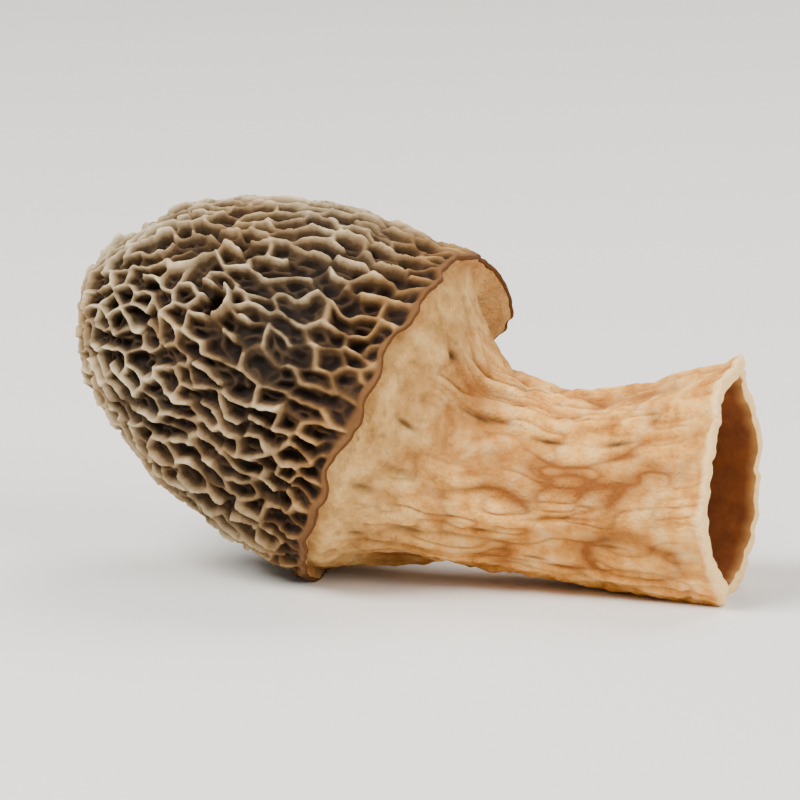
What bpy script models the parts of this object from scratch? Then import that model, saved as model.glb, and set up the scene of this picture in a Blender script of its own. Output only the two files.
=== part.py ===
"""A dried morel mushroom, lying on its side as it would on a table.

One closed piece, as it grew: a pitted cap at -X that merges into a hollow stem, cut open at +X.
The hollow runs from the cut mouth through the stem and ends blind inside the cap.
Metres, +Z up. The origin is the middle of the underside of the bounding box.
"""

import math

import bmesh
import bpy
import numpy as np

MM = 0.001

# Sections across the mushroom, from the tip of the cap to the margin where the cap ends, in millimetres:
# top x, top z, bottom x, bottom z, half width across, and how far the middle is pushed along Y.
CAP_SECTIONS = [
    (-9.9, 10.0, -9.9, 10.0, 0.0, 1.1),
    (-9.5, 12.0, -9.6, 7.9, 1.9, 1.0),
    (-7.7, 13.9, -8.2, 5.7, 3.9, 0.75),
    (-4.9, 15.2, -5.8, 3.3, 5.5, 0.4),
    (-1.5, 15.5, -3.2, 1.4, 6.4, 0.15),
    (2.6, 14.9, -1.1, 0.3, 6.8, 0.0),
    (6.4, 13.4, 0.5, 0.0, 6.7, 0.0),
]
# The same for the stem, from just inside the margin to the cut mouth.
STEM_SECTIONS = [
    (6.3, 12.1, 1.1, 0.7, 6.1, 0.0),
    (7.1, 10.4, 2.8, 0.9, 5.0, 0.05),
    (8.1, 9.0, 5.0, 0.95, 4.25, 0.15),
    (9.8, 8.25, 7.8, 0.8, 3.9, 0.25),
    (11.8, 8.1, 10.9, 0.5, 3.8, 0.3),
    (14.2, 8.7, 14.0, 0.2, 3.85, 0.3),
    (17.3, 9.8, 17.1, 0.0, 3.9, 0.2),
]

# Hollows that drying has drawn into the cap: place in cap sections, angle from the top in degrees,
# depth in millimetres, and reach along the cap in sections and round it in degrees.
CAP_DENTS = [
    (2.9, -82, 0.9, 0.5, 17),
    (4.4, -112, 0.45, 0.9, 16),
    (3.6, 65, 0.7, 0.9, 26),
    (4.6, 150, 0.4, 0.8, 22),
]

PIT_COLUMNS = 20  # pits in one turn round the cap
PIT_ROWS = 10  # pits from the tip to the margin
STEPS_PER_PIT = 3  # mesh steps across a pit, each way: one on the ridge and two on the floor
PIT_DEPTH = 0.85
CROSS_RIDGE = 0.7  # height of the ridges across, as a share of the height of the long ribs
CAP_FLESH = 0.65  # wall left between a pit's floor and the hollow
STEM_WALL = 0.55
MARGIN_GROOVE = 0.4  # how far the stem's skin starts inside the margin
STEM_RINGS = 11
HOLLOW_RINGS = 14
HOLLOW_START = 1.55  # where the hollow ends inside the cap, counted in cap sections from the tip

RIB_SWAY = 0.10  # radians that the long ribs wander round the cap
MOUTH_WAVE = 0.3  # how far the cut edge waves along the stem
FLAT_DEPTH = 0.3  # how much is flattened where the mushroom lies on its side
CAP_SLOT, STEM_SLOT = 0, 1  # which material is on the cap and which on the stem and in the hollow

SEGMENTS = PIT_COLUMNS * STEPS_PER_PIT
CAP_RINGS = PIT_ROWS * STEPS_PER_PIT


def section_at(sections, place):
    """The section at a place counted in sections, on a smooth curve through them all."""
    table = np.array(sections)
    last = len(table) - 1
    i = min(int(place), last - 1)
    t = place - i
    before, start, end, after = (table[min(max(k, 0), last)] for k in range(i - 1, i + 3))
    return 0.5 * (
        2 * start
        + (end - before) * t
        + (2 * before - 5 * start + 4 * end - after) * t**2
        + (3 * start - before - 3 * end + after) * t**3
    )


def turns(place):
    """The angle of each point round a ring, from the top, with the ribs' slow sideways sway."""
    even = np.arange(SEGMENTS) * 2 * math.pi / SEGMENTS
    return even + RIB_SWAY * np.sin(1.3 * place + 2 * even) * math.sin(0.9 * place)


def ring(sections, place, inward, angles):
    """Points round one section, moved in from its outline by inward, in millimetres."""
    top_x, top_z, low_x, low_z, half_width, aside = section_at(sections, place)
    middle = np.array([(top_x + low_x) / 2, aside, (top_z + low_z) / 2])
    up = np.array([(top_x - low_x) / 2, 0.0, (top_z - low_z) / 2])
    half_height = max(float(np.linalg.norm(up)), 1e-6)
    rise = np.maximum(half_height - inward, 0.05)
    spread = np.maximum(half_width - inward, 0.05)
    across = np.array([0.0, 1.0, 0.0])
    return (
        middle
        + np.outer(rise * np.cos(angles), up / half_height)
        + np.outer(spread * np.sin(angles), across)
    )


def fade(value, start, end):
    """0 at start, 1 at end, with a smooth change between them."""
    t = np.clip((value - start) / (end - start), 0.0, 1.0)
    return t * t * (3 - 2 * t)


def cap_lean(place, angles):
    """How far drying has drawn the cap's outline in, in millimetres: broad lobes and a few dents."""
    lobes = 0.22 * np.cos(2 * angles + 0.8) + 0.2 * np.cos(3 * angles - 1.1 + 0.5 * place)
    drawn_in = lobes * fade(place, 0.3, 2.5) * fade(6.0 - place, 0.0, 1.5)
    for dent_place, dent_angle, depth, reach, reach_angle in CAP_DENTS:
        aside = (angles - math.radians(dent_angle) + math.pi) % (2 * math.pi) - math.pi
        away = ((place - dent_place) / reach) ** 2 + (aside / math.radians(reach_angle)) ** 2
        drawn_in = drawn_in + depth * np.exp(-away)
    return drawn_in


def pit_depths(ring_number, heights):
    """How deep each point of a cap ring lies under the crests of the ribs, in millimetres."""
    step = np.arange(SEGMENTS)
    rib = step % STEPS_PER_PIT == 0
    stagger = (step // STEPS_PER_PIT) % 2 * 2
    cross = (ring_number + stagger) % STEPS_PER_PIT == 0
    height = np.where(rib, 1.0, np.where(cross, CROSS_RIDGE, 0.0))
    from_tip = fade(ring_number, 1, 6)
    from_margin = fade(CAP_RINGS - ring_number, 0, 3)
    from_table = fade(heights, 0.1, 0.9)
    return PIT_DEPTH * (1 - height) * from_tip * from_margin * from_table


def cap_rings():
    """The outer skin of the cap, ring by ring from next to the tip to the margin."""
    rings = []
    last_section = len(CAP_SECTIONS) - 1
    for i in range(1, CAP_RINGS + 1):
        place = last_section * i / CAP_RINGS
        angles = turns(place)
        lean = cap_lean(place, angles)
        crest = ring(CAP_SECTIONS, place, lean, angles)
        rings.append(ring(CAP_SECTIONS, place, lean + pit_depths(i, crest[:, 2]), angles))
    return rings


def stem_rings():
    """The outer skin of the stem, from the groove under the margin to the cut mouth."""
    groove = ring(CAP_SECTIONS, len(CAP_SECTIONS) - 1.12, 2.2 * MARGIN_GROOVE, turns(0.0))
    rings = [groove]
    last_section = len(STEM_SECTIONS) - 1
    for i in range(STEM_RINGS + 1):
        share = i / STEM_RINGS
        angles = turns(0.0)
        creases = 0.10 * np.cos(7 * angles + 2 * share) + 0.08 * np.cos(11 * angles - 3 * share)
        skin = ring(STEM_SECTIONS, last_section * share, creases * math.sin(math.pi * share), angles)
        rings.append(skin + mouth_wave(angles, share))
    return rings


def mouth_wave(angles, share):
    """How far the cut edge waves along X, which dies out up the stem."""
    wave = MOUTH_WAVE * (np.cos(3 * angles + 1.0) + 0.6 * np.cos(5 * angles)) / 1.6
    return np.outer(wave * fade(share, 0.8, 1.0), [1.0, 0.0, 0.0])


def hollow_rings():
    """The wall of the hollow, from the mouth to the blind end inside the cap."""
    angles = turns(0.0)
    stem_last, cap_last = len(STEM_SECTIONS) - 1, len(CAP_SECTIONS) - 1
    stem_steps = HOLLOW_RINGS // 2
    rings = []
    for i in range(stem_steps):
        share = 1 - i / stem_steps
        wall = STEM_WALL + (PIT_DEPTH + CAP_FLESH - STEM_WALL) * fade(share, 0.4, 0.0)
        skin = ring(STEM_SECTIONS, stem_last * share, wall, angles)
        rings.append(skin + mouth_wave(angles, share))
    for i in range(HOLLOW_RINGS - stem_steps):
        share = 1 - (i + 0.6) / (HOLLOW_RINGS - stem_steps)
        place = HOLLOW_START + (cap_last - HOLLOW_START) * share
        rounding = 1.6 * fade(1 - share, 0.6, 1.0)
        wall = PIT_DEPTH + CAP_FLESH + cap_lean(place, angles)
        rings.append(ring(CAP_SECTIONS, place, wall + rounding, angles))
    return rings


def laid_down(points):
    """The points on z = 0, with what would press into the table flattened, and centred over the origin."""
    points = points.copy()
    points[:, 2] -= points[:, 2].min() + FLAT_DEPTH
    points[:, 2] = np.maximum(points[:, 2], 0.0)
    low, high = points.min(axis=0), points.max(axis=0)
    points[:, :2] -= (low[:2] + high[:2]) / 2
    return points


def closed_loop(bm, points):
    """The edges of a closed loop through the points."""
    verts = [bm.verts.new(point) for point in points]
    return [bm.edges.new((verts[i - 1], verts[i])) for i in range(len(verts))]


def close_end(bm, loop, point, slot):
    """Closes a loop with a fan of triangles that meet at the point."""
    lid = bmesh.ops.contextual_create(bm, geom=loop)["faces"]
    fan = bmesh.ops.poke(bm, faces=lid)
    fan["verts"][0].co = point
    for face in fan["faces"]:
        face.material_index = slot


def material(name, colour, roughness):
    made = bpy.data.materials.new(name)
    made.use_nodes = True
    shader = made.node_tree.nodes["Principled BSDF"]
    shader.inputs["Base Color"].default_value = (*colour, 1.0)
    shader.inputs["Roughness"].default_value = roughness
    shader.inputs["Metallic"].default_value = 0.0
    return made


def morel():
    """Bridges the rings from the tip, over the cap and the stem, round the mouth and into the hollow."""
    cap = cap_rings()
    rings = cap + stem_rings() + hollow_rings()
    tip = [CAP_SECTIONS[0][0], CAP_SECTIONS[0][5], CAP_SECTIONS[0][1]]
    blind_end = rings[-1].mean(axis=0) + [-0.3, 0.0, 0.0]
    points = laid_down(np.vstack([[tip], *rings, [blind_end]])) * MM

    bm = bmesh.new()
    loops = [closed_loop(bm, ring_points) for ring_points in np.split(points[1:-1], len(rings))]
    for i in range(1, len(loops)):
        band = bmesh.ops.bridge_loops(bm, edges=loops[i - 1] + loops[i])["faces"]
        for face in band:
            face.material_index = CAP_SLOT if i < len(cap) else STEM_SLOT
    close_end(bm, loops[0], points[0], CAP_SLOT)
    close_end(bm, loops[-1], points[-1], STEM_SLOT)
    bmesh.ops.recalc_face_normals(bm, faces=bm.faces)

    mesh = bpy.data.meshes.new("dried_morel")
    bm.to_mesh(mesh)
    bm.free()
    mesh.materials.append(material("dried_cap", (0.10, 0.065, 0.035), 0.85))
    mesh.materials.append(material("dried_stem", (0.62, 0.40, 0.18), 0.8))
    mesh.shade_smooth()
    mesh.set_sharp_from_angle(angle=math.radians(50))
    obj = bpy.data.objects.new("dried_morel", mesh)
    bpy.context.scene.collection.objects.link(obj)


for old in list(bpy.data.objects):
    bpy.data.objects.remove(old)
morel()
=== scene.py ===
import itertools
import math

import bpy
import numpy as np
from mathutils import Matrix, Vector


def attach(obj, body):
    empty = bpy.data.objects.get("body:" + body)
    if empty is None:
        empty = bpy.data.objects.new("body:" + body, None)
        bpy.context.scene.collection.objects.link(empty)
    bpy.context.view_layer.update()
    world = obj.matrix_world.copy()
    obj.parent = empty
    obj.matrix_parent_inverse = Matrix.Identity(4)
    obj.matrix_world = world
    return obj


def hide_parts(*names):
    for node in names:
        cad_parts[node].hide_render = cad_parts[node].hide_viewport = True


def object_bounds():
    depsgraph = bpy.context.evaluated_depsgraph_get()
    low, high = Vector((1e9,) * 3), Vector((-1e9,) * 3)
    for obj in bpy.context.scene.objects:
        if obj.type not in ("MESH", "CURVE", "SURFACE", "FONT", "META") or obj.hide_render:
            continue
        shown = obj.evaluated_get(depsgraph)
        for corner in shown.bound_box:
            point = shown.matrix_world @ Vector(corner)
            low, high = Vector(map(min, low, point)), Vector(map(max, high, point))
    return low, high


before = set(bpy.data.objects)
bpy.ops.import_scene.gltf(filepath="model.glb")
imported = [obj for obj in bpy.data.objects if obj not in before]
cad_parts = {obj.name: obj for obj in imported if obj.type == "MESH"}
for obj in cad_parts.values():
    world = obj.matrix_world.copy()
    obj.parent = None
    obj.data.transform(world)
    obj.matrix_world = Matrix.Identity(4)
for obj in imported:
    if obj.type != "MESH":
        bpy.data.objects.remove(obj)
cadLow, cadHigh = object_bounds()
print("frame loaded", [round(side * 1000, 1) for side in cadHigh - cadLow], "mm")

mm = 0.001

columns = 640  # points round every ring
angles = (np.arange(columns) * 2 * math.pi / columns)[None, :]
rng = np.random.default_rng(7)


def fade(value, start, end):
    t = np.clip((value - start) / (end - start), 0.0, 1.0)
    return t * t * (3 - 2 * t)


def noise(points, size, seed=0):
    # smooth noise from -1 to 1, whose bumps are about size mm across
    q = points / size + np.array([19.1, 7.7, 31.3]) * (seed + 1)
    corner = np.floor(q)
    t = q - corner
    t = t * t * t * (t * (t * 6 - 15) + 10)
    total = np.zeros(points.shape[:-1])
    for step in itertools.product((0, 1), repeat=3):
        at = corner + step
        mixed = np.sin(at @ np.array([127.1, 311.7, 74.7]) + seed * 11.3) * 43758.5453
        weight = np.prod(np.where(step, t, 1 - t), axis=-1)
        total += weight * (mixed - np.floor(mixed))
    return 2 * total - 1


def noiseVector(points, size, seed):
    return np.stack([noise(points, size, seed + 40 * k) for k in range(3)], axis=-1)


# the outline, in mm: top x, top z, bottom x, bottom z, half width across, push along Y
outline = {
    "cap": [
        (-9.9, 10.0, -9.9, 10.0, 0.0, 1.1),
        (-9.5, 12.0, -9.6, 7.9, 1.9, 1.0),
        (-7.7, 13.9, -8.2, 5.7, 3.9, 0.75),
        (-4.9, 15.2, -5.8, 3.3, 5.5, 0.4),
        (-1.5, 15.5, -3.2, 1.4, 6.4, 0.15),
        (2.6, 14.9, -1.1, 0.3, 6.8, 0.0),
        (6.4, 13.4, 0.5, 0.0, 6.7, 0.0),
    ],
    "stem": [
        (6.3, 12.1, 1.1, 0.7, 6.1, 0.0),
        (7.1, 10.4, 2.8, 0.9, 5.0, 0.05),
        (8.1, 9.0, 5.0, 0.95, 4.25, 0.15),
        (9.8, 8.25, 7.8, 0.8, 3.9, 0.25),
        (11.8, 8.1, 10.9, 0.5, 3.8, 0.3),
        (14.2, 8.7, 14.0, 0.2, 3.85, 0.3),
        (17.3, 9.8, 17.1, 0.0, 3.9, 0.2),
    ],
    # place in cap sections, degrees from the top, depth, reach along in sections, reach round in degrees
    "dents": [
        (2.9, -82, 0.9, 0.5, 17),
        (4.4, -112, 0.45, 0.9, 16),
        (3.6, 65, 0.7, 0.9, 26),
        (4.6, 150, 0.4, 0.8, 22),
    ],
    "flatDepth": 0.3,  # pressed flat where it lies
}


def sectionAt(sections, places):
    table = np.array(sections)
    last = len(table) - 1
    i = np.minimum(places.astype(int), last - 1)
    t = (places - i)[:, None]
    before, start, end, after = (table[np.clip(i + k, 0, last)] for k in (-1, 0, 1, 2))
    return 0.5 * (
        2 * start
        + (end - before) * t
        + (2 * before - 5 * start + 4 * end - after) * t**2
        + (3 * start - before - 3 * end + after) * t**3
    )


def rings(sections, places, inward=0.0):
    # one ring of points for each place, moved in from the outline by inward
    topX, topZ, lowX, lowZ, halfWidth, aside = sectionAt(sections, places).T[:, :, None]
    upX, upZ = (topX - lowX) / 2, (topZ - lowZ) / 2
    halfHeight = np.maximum(np.hypot(upX, upZ), 1e-6)
    rise = np.maximum(halfHeight - inward, 0.01) / halfHeight * np.cos(angles)
    spread = np.maximum(halfWidth - inward, 0.01) * np.sin(angles)
    return np.stack(
        [(topX + lowX) / 2 + rise * upX, aside + spread, (topZ + lowZ) / 2 + rise * upZ], axis=-1
    )


def evenPlaces(sections, first, last, count):
    # places whose rings are evenly spaced along the surface
    fine = np.linspace(first, last, 400)
    steps = np.linalg.norm(np.diff(rings(sections, fine), axis=0), axis=-1).mean(axis=1)
    travelled = np.concatenate([[0.0], np.cumsum(steps)])
    return np.interp(np.linspace(0, travelled[-1], count), travelled, fine)


def directions(points):
    # unit vectors along the rows, round the ring, and out of the surface
    along = np.gradient(points, axis=0)
    roundIt = (np.roll(points, -1, axis=1) - np.roll(points, 1, axis=1)) / 2
    out = np.cross(along, roundIt)
    return [v / np.maximum(np.linalg.norm(v, axis=-1, keepdims=True), 1e-9) for v in (along, roundIt, out)]


def smoothed(field, times):
    for _ in range(times):
        field = (np.roll(field, 1, 1) + 2 * field + np.roll(field, -1, 1)) / 4
        field[1:-1] = (field[:-2] + 2 * field[1:-1] + field[2:]) / 4
    return field


cap = {
    "rows": 290,
    "axis": (0.97, 0.0, -0.24),  # from the tip to the middle of the margin
    "cellSize": 0.63,  # between the middles of neighbouring pits
    "cellStretch": 0.6,  # under 1 draws the pits out lengthwise
    "floorCellSize": 0.37,  # the low ridges on the pit floors
    "floorRidge": 0.5,  # their height, as a share of the pit depth
    "floorCrestWidth": 0.05,
    "floorWallWidth": 0.2,
    "seedTries": 14000,  # points tried when the pits are laid out
    "crestWidth": 0.1,
    "wallWidth": 0.24,
    "pitDepth": 1.0,
    "lean": 0.24,  # how far crests lean over sideways
    "crestWave": 0.13,
    "marginRadius": 0.1,
    "marginWave": 0.3,
    # the far side's margin reaches over the stem: degrees from the top, reach round in degrees, length
    "marginFlap": (55, 24, 1.6),
    # one pit has fallen in: place in cap sections, degrees from the top, half width, extra depth, curl
    "openPit": (3.93, -59, 0.5, 0.75, 0.3),
}


def capLean(places):
    # broad lobes and dents that drying has drawn in, as in the solid
    places = places[:, None]
    lobes = 0.22 * np.cos(2 * angles + 0.8) + 0.2 * np.cos(3 * angles - 1.1 + 0.5 * places)
    drawnIn = lobes * fade(places, 0.3, 2.5) * fade(6.0 - places, 0.0, 1.5)
    for place, degrees, depth, reach, reachDegrees in outline["dents"]:
        aside = (angles - math.radians(degrees) + math.pi) % (2 * math.pi) - math.pi
        away = ((places - place) / reach) ** 2 + (aside / math.radians(reachDegrees)) ** 2
        drawnIn = drawnIn + depth * np.exp(-away)
    return drawnIn


def scatter(points, spacing):
    # seeds at least spacing apart, over all the points; returns them with their row numbers
    order = rng.permutation(points.shape[0] * columns)[: cap["seedTries"]]
    kept, keptRows = [], []
    flat = points.reshape(-1, 3)
    for index in order:
        point = flat[index]
        if not kept or ((np.array(kept) - point) ** 2).sum(axis=1).min() > spacing**2:
            kept.append(point)
            keptRows.append(index // columns)
    return np.array(kept), np.array(keptRows)


def network(points, spacing, crest, wall, reach):
    # ridges between cells: 1 on a tall crest, 0 on the pit floors
    axis = np.array(cap["axis"])
    seeds, seedRows = scatter(points, spacing)
    height = np.zeros(points.shape[:2])
    for row in range(points.shape[0]):
        near = np.flatnonzero(np.abs(seedRows - row) < reach)
        local = seeds[near]
        away = ((points[row][:, None] - local[None]) ** 2).sum(axis=-1)
        nearest = np.argpartition(away, 4, axis=1)[:, :4]
        distance = np.take_along_axis(away, nearest, axis=1)
        order = np.argsort(distance, axis=1)
        nearest = np.take_along_axis(nearest, order, axis=1)
        distance = np.take_along_axis(distance, order, axis=1)
        own = nearest[:, 0]
        for k in (1, 2, 3):
            other = nearest[:, k]
            between = local[own] - local[other]
            apart = np.linalg.norm(between, axis=1)
            toEdge = (distance[:, k] - distance[:, 0]) / (2 * apart)
            a, b = near[own] + 1.0, near[other] + 1.0
            mixed = np.sin(a * b * 0.37 + (a + b) * 1.71) * 4375.85
            chance = mixed - np.floor(mixed)
            across = np.abs(between @ axis) / apart
            tall = (1.0 - 0.25 * across) * (1.0 - 0.2 * chance - 0.6 * across * fade(chance, 0.55, 0.8))
            t = np.clip((toEdge - crest / 2) / wall, 0.0, 1.0)
            height[row] = np.maximum(height[row], tall * (1 - t) ** 2 * (1 + 0.6 * t))
    return height


def buildCap():
    places = evenPlaces(outline["cap"], 0.06, 6.0, cap["rows"])
    base = rings(outline["cap"], places, capLean(places))
    along, roundIt, out = directions(base)
    fromMargin = np.linalg.norm(np.diff(base, axis=0, append=base[-1:]), axis=-1)
    fromMargin = np.cumsum(fromMargin[::-1], axis=0)[::-1]

    axis = np.array(cap["axis"])
    warped = base + 0.42 * noiseVector(base, 2.6, 1) + 0.2 * noiseVector(base, 0.85, 2)
    warped = warped + 0.06 * noiseVector(base, 0.33, 3)
    stretched = warped - (warped @ axis)[..., None] * axis * (1 - cap["cellStretch"])
    ridges = network(stretched, cap["cellSize"], cap["crestWidth"], cap["wallWidth"], 46)
    floorRidges = network(
        stretched, cap["floorCellSize"], cap["floorCrestWidth"], cap["floorWallWidth"], 30
    )
    print("cap: ridges laid out")

    height = np.maximum(ridges, cap["floorRidge"] * floorRidges * (1 - 0.5 * ridges))
    marginWave = 0.12 * noise(base, 0.7, 5)
    marginBand = fade(fromMargin + marginWave, 0.4, 0.1)
    height = height * (1 - 0.22 * fade(noise(base, 0.75, 7), 0.0, 0.9))
    place, degrees, halfWidth, fallenIn, curl = cap["openPit"]
    row, column = np.argmin(np.abs(places - place)), round(degrees / 360 * columns) % columns
    reachIn = base - base[row, column]
    lengthwise, sideways = reachIn @ along[row, column], reachIn @ roundIt[row, column]
    fromMiddle = np.hypot(lengthwise, 0.8 * sideways + 0.1 * np.sin(4 * lengthwise)) / halfWidth
    hole = fade(fromMiddle, 1.0, 0.55)
    curled = np.exp(-(((fromMiddle - 1.12) / 0.22) ** 2)) * fade(lengthwise / halfWidth, -0.3, 0.5)
    height = np.maximum(height * (1 - hole), curled)
    height = smoothed(np.maximum(height, 0.85 * marginBand), 1)
    depth = cap["pitDepth"] * (0.92 + 0.22 * noise(base, 3.0, 6)) * fade(places, 0.0, 0.9)[:, None]
    depth = depth * (0.45 + 0.55 * fade(fromMargin, 0.2, 1.4))
    depth = depth + fallenIn * hole
    lift = height * cap["crestWave"] * noise(base, 1.2, 8) + curl * curled
    rough = (0.035 * noise(base, 0.3, 9) + 0.02 * noise(base, 0.16, 10)) * (0.4 + 0.6 * height)
    points = base + out * (lift + rough - depth * (1 - height))[..., None]
    lean = cap["lean"] * (height**1.5)[..., None]
    points = points + lean * (
        noise(base, 1.9, 11)[..., None] * roundIt + noise(base, 1.9, 12)[..., None] * along
    )

    wave = cap["marginWave"] * noise(base[-1:], 1.1, 14) + 0.07 * noise(base[-1:], 0.4, 16)
    wave = wave * fade(fromMargin, 1.2, 0.0)
    degrees, reachDegrees, length = cap["marginFlap"]
    aside = (np.degrees(angles) - degrees) / reachDegrees
    flap = length * np.exp(-(aside**2)) * fade(fromMargin, 4.0, 0.0)
    points = points + (wave + flap)[..., None] * along + (0.25 * flap)[..., None] * out
    nearMargin = fade(fromMargin + 0.8 * noise(base, 2.0, 15), 4.5, 0.5)
    return points, {"ridge": height, "margin": marginBand, "warm": nearMargin}, (along[-1], out[-1])


def buildMargin(edge, along, out):
    # the cap's edge rolls under to where the stem's skin comes out
    radius = cap["marginRadius"]
    roll = np.radians(np.linspace(18, 165, 9))[:, None, None]
    crimp = 1 + 0.35 * noise(edge, 0.45, 17)[:, None]
    rolled = edge - radius * out + radius * crimp * (np.cos(roll) * out + 1.1 * np.sin(roll) * along)
    tucked = edge - 0.62 * out - 0.1 * along
    return rolled, np.stack([rolled[-1] * 0.7 + tucked * 0.3, rolled[-1] * 0.3 + tucked * 0.7, tucked])


stem = {
    "rows": 140,
    "wall": 0.55,
    "halfGirth": 3.9,
    "foldSize": 1.7,  # soft folds
    "foldDepth": 0.34,
    "creaseSize": 0.95,  # drying creases between them
    "creaseDepth": 0.4,
    "deepest": 0.4,  # no crease goes deeper, as the wall is thin
    "slits": 34,
    "slitDepth": 0.22,
    "mouthWave": 0.3,
    "mouthFlare": 0.2,
    "tornEdge": 0.2,
}


def roundStem(travelled=0.0):
    # points on a plain round stem, on which noise is read
    girth = stem["halfGirth"]
    return np.stack([girth * np.cos(angles) + 0 * travelled, girth * np.sin(angles) + 0 * travelled,
                     travelled + 0 * angles], axis=-1)


def mouthShift(share):
    # how far the torn edge of the mouth reaches past an even cut
    wave = stem["mouthWave"] * (np.cos(3 * angles + 1.0) + 0.6 * np.cos(5 * angles)) / 1.6
    torn = 0.65 * noise(roundStem(), 0.9, 21) + 0.35 * noise(roundStem(), 0.33, 22)
    return wave * fade(share, 0.8, 1.0) + stem["tornEdge"] * torn * fade(share, 0.9, 1.0)


def buildStem():
    places = evenPlaces(outline["stem"], 0.0, 6.0, stem["rows"])
    share = (places / 6.0)[:, None]
    soft = 0.10 * np.cos(7 * angles + 2 * share) + 0.08 * np.cos(11 * angles - 3 * share)
    pressed = soft * np.sin(math.pi * share)
    base = rings(outline["stem"], places, pressed)
    along, roundIt, out = directions(base)
    travelled = np.cumsum(np.linalg.norm(np.diff(base, axis=0, prepend=base[:1]), axis=-1), axis=0)

    # creases run lengthwise, so their noise is read on a skin that is squeezed along the stem
    skin = roundStem(travelled * 0.3)
    wander = skin + 0.5 * noiseVector(base, 2.4, 31) * np.array([1, 1, 0.4])
    folds = noise(wander * np.array([1, 1, 0.7]), stem["foldSize"], 32)
    valley = 1 - np.abs(noise(wander, stem["creaseSize"], 33))
    finer = 1 - np.abs(noise(wander, stem["creaseSize"] * 0.5, 34))
    middle = fade(share, 0.02, 0.25) * (1 - 0.5 * fade(share, 0.85, 1.0))
    crease = middle * (0.85 * valley**4 * (0.6 + 0.4 * noise(base, 1.6, 35)) + 0.42 * finer**4)
    pores = 0.6 * fade(noise(base, 0.42, 36), 0.5, 0.95) * fade(share, 0.4, 0.05)

    # slits and pores are also coloured dark, as painted shade in these recesses
    slit = np.zeros_like(crease)
    for _ in range(stem["slits"]):
        place, turn = rng.uniform(0.08, 0.8), rng.uniform(0, 2 * math.pi)
        length, width = rng.uniform(0.25, 0.7), rng.uniform(0.08, 0.15)
        row = np.argmin(np.abs(share[:, 0] - place))
        aside = (angles - turn + math.pi) % (2 * math.pi) - math.pi
        lengthwise = travelled - travelled[row][None] + 0.25 * np.sin(9 * aside)
        mark = np.exp(-((aside * stem["halfGirth"] / width) ** 2) - (lengthwise / length) ** 2)
        slit = np.maximum(slit, mark * rng.uniform(0.4, 1.0))

    rim = fade(share + 0.008 * noise(base, 0.6, 39), 0.975, 0.993)
    flare = fade(share, 0.93, 1.0)
    inward = stem["foldDepth"] * folds * middle + stem["creaseDepth"] * crease * 1.2
    inward = inward + stem["slitDepth"] * slit + 0.09 * pores - stem["mouthFlare"] * flare**2
    inward = inward - 0.07 * noise(base, 0.5, 37) - 0.045 * noise(base, 0.22, 38)
    deepest = stem["deepest"] * (1 - 0.6 * fade(share, 0.7, 0.95)) - np.maximum(pressed, 0.0)
    inward = deepest * np.tanh(inward / deepest)
    points = base - out * inward[..., None]
    points[..., 0] += mouthShift(share)
    # the crease mark drives painted shade: creases and deep folds are coloured browner
    marks = {"crease": np.clip(crease + 0.35 * fade(folds, 0.1, 0.9) * middle, 0, 1),
             "slit": np.clip(slit + 0.7 * pores, 0, 1), "rim": rim + 0 * crease, "along": share + 0 * crease}
    print("stem: creased")
    return points, marks


def buildLip(outer, inner):
    # the cut edge, rounded a little, from the skin over to the wall of the hollow
    middle, half = (outer + inner) / 2, (outer - inner) / 2
    turn = np.linspace(0, math.pi, 11)[1:-1, None, None]
    past = np.array([0.16, 0.0, 0.0])
    grain = 0.03 * noise(outer, 0.2, 41)[:, None] * np.array([1.0, 0.0, 0.0])
    return middle + half * np.cos(turn) + (past + grain) * np.sin(turn)


hollow = {
    "rows": 84,
    "start": 1.55,  # how near its blind end comes to the tip, in cap sections
    "capFlesh": 1.5,
    "wrinkle": 0.14,
    "rimThinning": 0.3,  # share of the wall that is lost here and there at the torn edge
}


def buildHollow():
    inStem = hollow["rows"] * 6 // 10
    share = np.linspace(1.0, 0.1, inStem)
    thinned = hollow["rimThinning"] * (0.5 + 0.5 * noise(roundStem(), 1.3, 54))
    thinned = thinned + 0.08 * noise(roundStem(), 0.4, 55)
    thinned = thinned * fade(np.cos(angles), -0.9, -0.4)  # not where it lies on its lip
    thick = stem["wall"] * (1 - thinned * fade(share, 0.8, 1.0)[:, None])
    thick = thick + (hollow["capFlesh"] - stem["wall"]) * fade(share, 0.4, 0.0)[:, None]
    stemPart = rings(outline["stem"], 6 * share, thick)
    stemPart[..., 0] += mouthShift(share[:, None])
    share = np.linspace(0.93, 0.0, hollow["rows"] - inStem)
    places = hollow["start"] + (6 - hollow["start"]) * share
    rounding = 1.6 * fade(1 - share, 0.6, 1.0)[:, None]
    capPart = rings(outline["cap"], places, hollow["capFlesh"] + capLean(places) + rounding)
    base = np.concatenate([stemPart, capPart])
    out = directions(base)[2]
    squeezed = base * np.array([0.3, 1.0, 1.0])
    ripple = noise(squeezed, 1.1, 51) + 0.5 * noise(squeezed, 0.5, 52) + 0.25 * noise(base, 0.4, 53)
    depth = hollow["wrinkle"] * np.maximum(0.3 + ripple, -0.3) * fade(np.arange(len(base)), 0, 8)[:, None]
    # deep runs from the mouth to the blind end and drives the painted shade of the hollow
    deep = np.linspace(0, 1, len(base))[:, None] + 0 * ripple
    return base + out * depth[..., None], {"deep": deep, "crease": fade(ripple, 0.2, 1.2)}


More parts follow.
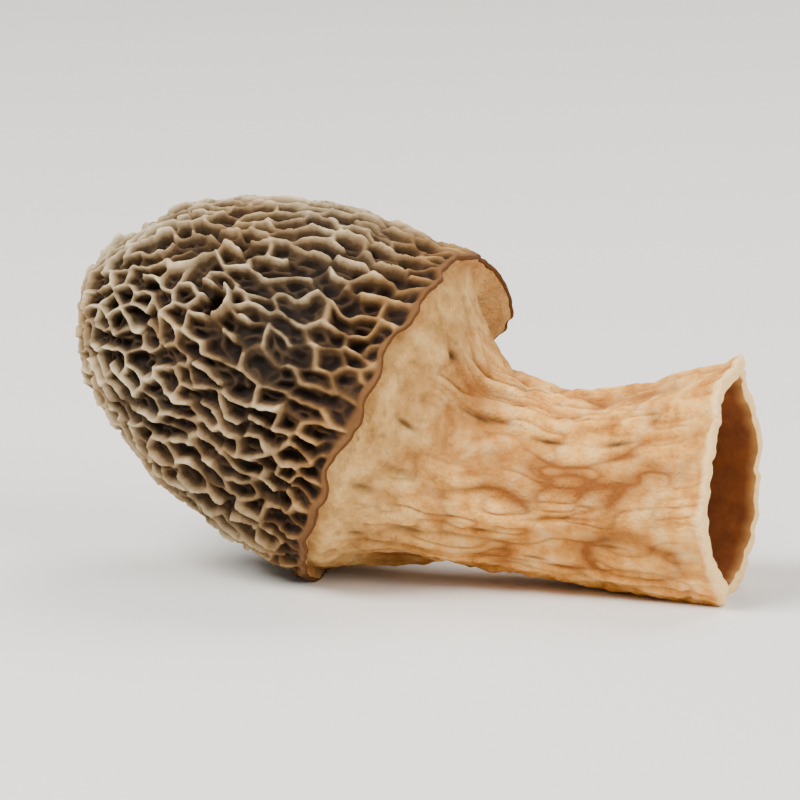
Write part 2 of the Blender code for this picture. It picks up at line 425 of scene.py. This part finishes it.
def buildMorel():
    # one skin, from the tip of the cap round to the blind end of the hollow
    capPoints, capMarks, (along, out) = buildCap()
    marginPoints, underPoints = buildMargin(capPoints[-1], along, out)
    stemPoints, stemMarks = buildStem()
    hollowPoints, hollowMarks = buildHollow()
    lipPoints = buildLip(stemPoints[-1], hollowPoints[0])
    strips = [
        (capPoints, 0, capMarks),
        (marginPoints, 0, {"ridge": 0.5, "margin": 1.0, "warm": 1.0}),
        # the tucked underside gets a crease mark: painted shade under the rolled margin
        (underPoints, 1, {"crease": 0.35}),
        (stemPoints, 1, stemMarks),
        (lipPoints, 1, {"rim": 1.0, "along": 1.0}),
        (hollowPoints, 2, hollowMarks),
    ]
    body = np.concatenate([strip for strip, slot, marks in strips])
    tip = capPoints[0].mean(axis=0)
    blindEnd = hollowPoints[-1].mean(axis=0) + np.array([-0.1, 0.0, 0.0])
    points = np.vstack([tip, body.reshape(-1, 3), blindEnd])

    # laid into the frame: the same box as the solid, flattened where it lies
    places = np.linspace(0, 6, 200)
    crest = rings(outline["cap"], places, capLean(places)).reshape(-1, 3)
    low, high = crest.min(axis=0), crest.max(axis=0)
    points[:, 0] += cadLow.x / mm - low[0]
    points[:, 1] += (cadLow.y + cadHigh.y) / 2 / mm - (low[1] + high[1]) / 2
    points[:, 2] -= low[2] + outline["flatDepth"]
    points[:, 2] = np.where(points[:, 2] < 0.12, 0.12 * np.exp((points[:, 2] - 0.12) / 0.12), points[:, 2])
    points[:, 2] = np.where(points[:, 2] < 0.06, np.maximum(points[:, 2] - 0.03, 0.0), points[:, 2])

    rows = len(body)
    start = 1 + np.arange(rows - 1)[:, None] * columns
    here, there = np.arange(columns)[None, :], (np.arange(columns) + 1)[None, :] % columns
    quads = np.stack([start + here, start + columns + here, start + columns + there, start + there], axis=-1)
    end = 1 + (rows - 1) * columns
    first = [(0, 1 + j, 1 + (j + 1) % columns) for j in range(columns)]
    last = [(len(points) - 1, end + (j + 1) % columns, end + j) for j in range(columns)]
    faces = first + quads.reshape(-1, 4).tolist() + last
    mesh = bpy.data.meshes.new("driedMorel")
    mesh.from_pydata((points * mm).tolist(), [], faces)
    mesh.shade_smooth()

    for name in ("ridge", "margin", "warm", "crease", "slit", "rim", "along", "deep"):
        values = [np.broadcast_to(marks.get(name, 0.0), strip.shape[:2]) for strip, slot, marks in strips]
        values = np.concatenate([[0.0], np.concatenate(values).ravel(), [0.0]])
        mesh.attributes.new(name, "FLOAT", "POINT").data.foreach_set("value", values.astype(np.float32))

    slots = np.concatenate([np.full(len(strip), slot) for strip, slot, marks in strips])
    faceSlots = np.concatenate([[0] * columns, np.repeat(slots[1:], columns), [2] * columns])
    mesh.polygons.foreach_set("material_index", faceSlots.astype(np.int32))

    # the map runs round the mushroom one way and from tip to blind end the other
    level = np.concatenate([[0.0], np.cumsum(np.where(slots[1:] == 2, 0.5, 1.0))])
    level = 0.01 + 0.98 * level / level[-1]
    u = np.stack([np.arange(columns)] * 2 + [np.arange(columns) + 1] * 2, axis=-1) / columns
    u = np.broadcast_to(u, (rows - 1, columns, 4))
    v = np.stack([level[:-1], level[1:], level[1:], level[:-1]], axis=-1)[:, None, :]
    v = np.broadcast_to(v, (rows - 1, columns, 4))
    bodyMap = np.stack([u, v], axis=-1).reshape(-1, 2)
    column = np.arange(columns)
    middle = (column + 0.5) / columns
    firstMap = np.stack([middle, 0 * middle, column / columns, 0.01 + 0 * middle, (column + 1) / columns,
                         0.01 + 0 * middle], axis=-1).reshape(-1, 2)
    lastMap = np.stack([middle, 1 + 0 * middle, (column + 1) / columns, 0.99 + 0 * middle, column / columns,
                        0.99 + 0 * middle], axis=-1).reshape(-1, 2)
    uvs = np.concatenate([firstMap, bodyMap, lastMap]).astype(np.float32)
    mesh.uv_layers.new(name="OFBake").data.foreach_set("uv", uvs.ravel())

    morel = bpy.data.objects.new("driedMorel", mesh)
    bpy.context.scene.collection.objects.link(morel)
    print("morel:", len(faces), "faces")
    return morel


def linear(hexColour):
    parts = [int(hexColour[i:i + 2], 16) / 255 for i in (1, 3, 5)]
    return tuple(c / 12.92 if c < 0.04045 else ((c + 0.055) / 1.055) ** 2.4 for c in parts) + (1.0,)


def perSize(sizeMm):
    return 1 / (sizeMm * mm)  # texture scale whose features are sizeMm across


def addNode(tree, kind, inputs, stops=(), **settings):
    node = tree.nodes.new(kind)
    for name, value in settings.items():
        setattr(node, name, value)
    for name, value in inputs.items():
        if isinstance(value, bpy.types.NodeSocket):
            tree.links.new(value, node.inputs[name])
        else:
            node.inputs[name].default_value = value
    for i, (place, hexColour) in enumerate(stops):
        element = node.color_ramp.elements[i] if i < 2 else node.color_ramp.elements.new(place)
        element.position, element.color = place, linear(hexColour)
    return node


def newMaterial(name, look):
    made = bpy.data.materials.new(name)
    made.use_nodes = True
    shader = made.node_tree.nodes["Principled BSDF"]
    shader.inputs["Roughness"].default_value = look["roughness"]
    shader.inputs["IOR"].default_value = look["ior"]
    shader.inputs["Specular IOR Level"].default_value = look["specular"]
    return made, made.node_tree, shader


# dried cap flesh, leathery and shrunk over its ridges, coloured by ridge height: pale crests, brown walls,
# near black pits. This is partly the flesh's own tone and partly painted light: painted shade darkens the
# walls and pits, painted highlight lightens the crests
capLook = {
    "roughness": 0.85,
    "ior": 1.45,
    "specular": 0.22,  # the dust kills most of the gloss
    # from the pit floors to the crests: the dark low stops are partly painted shade, the pale high stops
    # partly painted highlight
    # greyer ramp away from the margin: pale grey crests that are part dust tone, part painted sheen
    "dustyWithPaintedSheen": [(0.0, "#0f0a06"), (1.0, "#dccba8"), (0.25, "#20150b"), (0.5, "#4d3b26"), (0.72, "#958060")],
    # browner ramp near the margin, with the same painted shade in the pits and painted highlight on the
    # crests
    "warm": [(0.0, "#120a06"), (1.0, "#c39c66"), (0.25, "#27170b"), (0.5, "#543a1f"), (0.72, "#87633a")],
    "margin": "#5a3618",
    "mottle": 0.45,  # mm across
    "patch": 4.0,
    "grain": 0.14,  # real skin grain is about 0.05 mm, too fine to show, so it is drawn coarser
    "grainDepth": 0.05,
}


def driedCap():
    made, tree, shader = newMaterial("driedCapFlesh", capLook)
    where = addNode(tree, "ShaderNodeTexCoord", {}).outputs["Object"]
    ridge = addNode(tree, "ShaderNodeAttribute", {}, attribute_name="ridge").outputs["Fac"]
    margin = addNode(tree, "ShaderNodeAttribute", {}, attribute_name="margin").outputs["Fac"]
    warmth = addNode(tree, "ShaderNodeAttribute", {}, attribute_name="warm").outputs["Fac"]
    mottle = addNode(tree, "ShaderNodeTexNoise", {"Vector": where, "Scale": perSize(capLook["mottle"]),
                                                  "Detail": 5.0})
    patch = addNode(tree, "ShaderNodeTexNoise", {"Vector": where, "Scale": perSize(capLook["patch"]),
                                                 "Detail": 2.0})
    nudge = addNode(tree, "ShaderNodeMath", {0: mottle.outputs["Fac"], 1: 0.34, 2: -0.17},
                    operation="MULTIPLY_ADD")
    height = addNode(tree, "ShaderNodeMath", {0: ridge, 1: nudge.outputs[0]}, operation="ADD").outputs[0]
    # painted shade and highlight: the colour follows ridge height, darker down in the pits and paler on the
    # crests
    dustyWithPaintedSheen = addNode(tree, "ShaderNodeValToRGB", {"Fac": height}, stops=capLook["dustyWithPaintedSheen"])
    warm = addNode(tree, "ShaderNodeValToRGB", {"Fac": height}, stops=capLook["warm"])
    patchy = addNode(tree, "ShaderNodeMapRange", {"Value": patch.outputs["Fac"], 1: 0.45, 2: 0.65, 4: 0.5})
    share = addNode(tree, "ShaderNodeMath", {0: patchy.outputs[0], 1: warmth}, operation="MAXIMUM")
    colour = addNode(tree, "ShaderNodeMix", {0: share.outputs[0], 6: dustyWithPaintedSheen.outputs[0], 7: warm.outputs[0]},
                     data_type="RGBA")
    edge = addNode(tree, "ShaderNodeMath", {0: margin, 1: 0.85}, operation="MULTIPLY")
    colour = addNode(tree, "ShaderNodeMix", {0: edge.outputs[0], 6: colour.outputs[2],
                                             7: linear(capLook["margin"])}, data_type="RGBA")
    tree.links.new(colour.outputs[2], shader.inputs["Base Color"])
    grain = addNode(tree, "ShaderNodeTexNoise", {"Vector": where, "Scale": perSize(capLook["grain"]),
                                                 "Detail": 4.0})
    bump = addNode(tree, "ShaderNodeBump", {"Height": grain.outputs["Fac"],
                                            "Distance": capLook["grainDepth"] * mm, "Strength": 0.6})
    tree.links.new(bump.outputs[0], shader.inputs["Normal"])
    return made


# dried stem flesh, mealy and wrinkled: matt golden tan, with painted shade browning the creases and folds
# and darkening the slits and pores, palest at the cut edge
stemLook = {
    "roughness": 0.82,
    "ior": 1.42,
    "specular": 0.35,
    "golden": [(0.28, "#b97022"), (0.72, "#ffd48a"), (0.5, "#f0ad55")],
    "dull": [(0.3, "#9a7038"), (0.72, "#e2ba78"), (0.5, "#c79857")],  # near the cap
    # painted shade in the creases and folds
    "crease": "#854c18",
    # painted shade in the slits and pores
    "slit": "#3c220e",
    "cutEdge": "#fbd08e",
    "mottle": 0.9,  # mm across
    "meal": 0.24,
    "grain": 0.12,  # real skin grain is about 0.05 mm, too fine to show, so it is drawn coarser
    "grainDepth": 0.12,
}


def driedStem():
    made, tree, shader = newMaterial("driedStemFlesh", stemLook)
    where = addNode(tree, "ShaderNodeTexCoord", {}).outputs["Object"]
    marks = {name: addNode(tree, "ShaderNodeAttribute", {}, attribute_name=name).outputs["Fac"]
             for name in ("crease", "slit", "rim", "along")}
    mottle = addNode(tree, "ShaderNodeTexNoise", {"Vector": where, "Scale": perSize(stemLook["mottle"]),
                                                  "Detail": 6.0, "Roughness": 0.6})
    golden = addNode(tree, "ShaderNodeValToRGB", {"Fac": mottle.outputs["Fac"]}, stops=stemLook["golden"])
    dull = addNode(tree, "ShaderNodeValToRGB", {"Fac": mottle.outputs["Fac"]}, stops=stemLook["dull"])
    towardsMouth = addNode(tree, "ShaderNodeMapRange", {"Value": marks["along"], 1: 0.12, 2: 0.5})
    colour = addNode(tree, "ShaderNodeMix", {0: towardsMouth.outputs[0], 6: dull.outputs[0],
                                             7: golden.outputs[0]}, data_type="RGBA")
    # painted shade: creases browner, slits and pores darker; the cut edge paler
    for mark, name in (("crease", "crease"), ("slit", "slit"), ("rim", "cutEdge")):
        colour = addNode(tree, "ShaderNodeMix", {0: marks[mark], 6: colour.outputs[2],
                                                 7: linear(stemLook[name])}, data_type="RGBA")
    tree.links.new(colour.outputs[2], shader.inputs["Base Color"])
    meal = addNode(tree, "ShaderNodeTexVoronoi", {"Vector": where, "Scale": perSize(stemLook["meal"])})
    fine = addNode(tree, "ShaderNodeTexNoise", {"Vector": where, "Scale": perSize(stemLook["grain"]),
                                                "Detail": 3.0})
    both = addNode(tree, "ShaderNodeMath", {0: meal.outputs["Distance"], 1: -0.5, 2: fine.outputs["Fac"]},
                   operation="MULTIPLY_ADD")
    bump = addNode(tree, "ShaderNodeBump", {"Height": both.outputs[0],
                                            "Distance": stemLook["grainDepth"] * mm, "Strength": 0.9})
    tree.links.new(bump.outputs[0], shader.inputs["Normal"])
    return made


# the inside skin, faintly ribbed, coloured darker away from the mouth as painted shade inside the hollow
insideLook = {
    "roughness": 0.8,
    "ior": 1.42,
    "specular": 0.3,
    # painted shade: tan at the lip, near black at the blind end
    "paintedShadeInwards": [(0.0, "#c88a48"), (1.0, "#2e180b"), (0.02, "#8a481b"), (0.12, "#57290f")],
    "mottled": "#4a2410",
    # painted shade in the wrinkles of the hollow
    "crease": "#1f0f07",
    "mottle": 0.7,  # mm across
    "grain": 0.2,
    "grainDepth": 0.05,
}


def driedInside():
    made, tree, shader = newMaterial("driedInnerSkin", insideLook)
    where = addNode(tree, "ShaderNodeTexCoord", {}).outputs["Object"]
    deep = addNode(tree, "ShaderNodeAttribute", {}, attribute_name="deep").outputs["Fac"]
    crease = addNode(tree, "ShaderNodeAttribute", {}, attribute_name="crease").outputs["Fac"]
    paintedShadeInwards = addNode(tree, "ShaderNodeValToRGB", {"Fac": deep}, stops=insideLook["paintedShadeInwards"])
    mottle = addNode(tree, "ShaderNodeTexNoise", {"Vector": where, "Scale": perSize(insideLook["mottle"]),
                                                  "Detail": 5.0})
    shade = addNode(tree, "ShaderNodeMapRange", {"Value": mottle.outputs["Fac"], 1: 0.3, 2: 0.7, 3: 0.1,
                                                 4: 0.55})
    colour = addNode(tree, "ShaderNodeMix", {0: shade.outputs[0], 6: paintedShadeInwards.outputs[0],
                                             7: linear(insideLook["mottled"])}, data_type="RGBA")
    # painted shade: the wrinkles of the hollow are coloured near black
    colour = addNode(tree, "ShaderNodeMix", {0: crease, 6: colour.outputs[2],
                                             7: linear(insideLook["crease"])}, data_type="RGBA")
    tree.links.new(colour.outputs[2], shader.inputs["Base Color"])
    grain = addNode(tree, "ShaderNodeTexNoise", {"Vector": where, "Scale": perSize(insideLook["grain"]),
                                                 "Detail": 4.0})
    bump = addNode(tree, "ShaderNodeBump", {"Height": grain.outputs["Fac"],
                                            "Distance": insideLook["grainDepth"] * mm, "Strength": 0.6})
    tree.links.new(bump.outputs[0], shader.inputs["Normal"])
    return made


morel = buildMorel()
for made in (driedCap(), driedStem(), driedInside()):
    morel.data.materials.append(made)
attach(morel, "root")
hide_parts("dried_morel")
print("morel: finished")


studio = {
    "azimuth": 17.0,  # degrees; 0 looks along +Y
    "elevation": 11.0,
    "lens": 300.0,
    "fieldWidth": 31.5,  # mm across the view at the mushroom
    "floor": {"roughness": 0.9, "ior": 1.45, "specular": 0.5, "colour": "#e8e4dc"},
    "worldColour": "#f4f2ee",
    "worldStrength": 0.3,
    # name, azimuth, elevation, distance in m, size in m, watts
    "softboxes": [
        ("key", -38, 50, 0.30, 0.14, 1.6),
        ("fill", 64, 30, 0.34, 0.2, 1.1),
        ("back", 165, 55, 0.30, 0.18, 0.8),
    ],
}


def towards(azimuth, elevation):
    a, e = math.radians(azimuth), math.radians(elevation)
    return Vector((math.sin(a) * math.cos(e), -math.cos(a) * math.cos(e), math.sin(e)))


def buildStudio():
    bpy.ops.mesh.primitive_plane_add(size=4.0, location=(0, 0, 0))
    floor = bpy.context.object
    floor.name = "paperFloor"
    made, tree, shader = newMaterial("mattPaper", studio["floor"])
    shader.inputs["Base Color"].default_value = linear(studio["floor"]["colour"])
    floor.data.materials.append(made)

    world = bpy.data.worlds.new("softRoom")
    bpy.context.scene.world = world
    world.use_nodes = True
    sky = world.node_tree.nodes["Background"]
    sky.inputs["Color"].default_value = linear(studio["worldColour"])
    sky.inputs["Strength"].default_value = studio["worldStrength"]

    middle = Vector((0.0, 0.0, cadHigh.z * 0.48))
    for name, azimuth, elevation, distance, size, watts in studio["softboxes"]:
        lamp = bpy.data.lights.new(name, "AREA")
        lamp.energy, lamp.size = watts, size
        spot = bpy.data.objects.new(name, lamp)
        spot.location = middle + distance * towards(azimuth, elevation)
        spot.rotation_euler = (middle - spot.location).to_track_quat("-Z", "Y").to_euler()
        bpy.context.scene.collection.objects.link(spot)

    sensorWidth = 36.0
    lensData = bpy.data.cameras.new("studioCamera")
    lensData.lens, lensData.sensor_width = studio["lens"], sensorWidth
    lensData.clip_start, lensData.clip_end = 0.005, 20.0
    distance = studio["fieldWidth"] * mm * studio["lens"] / sensorWidth
    camera = bpy.data.objects.new("studioCamera", lensData)
    camera.location = middle + distance * towards(studio["azimuth"], studio["elevation"])
    camera.rotation_euler = (middle - camera.location).to_track_quat("-Z", "Y").to_euler()
    bpy.context.scene.collection.objects.link(camera)
    bpy.context.scene.camera = camera


buildStudio()
print("studio: lit")
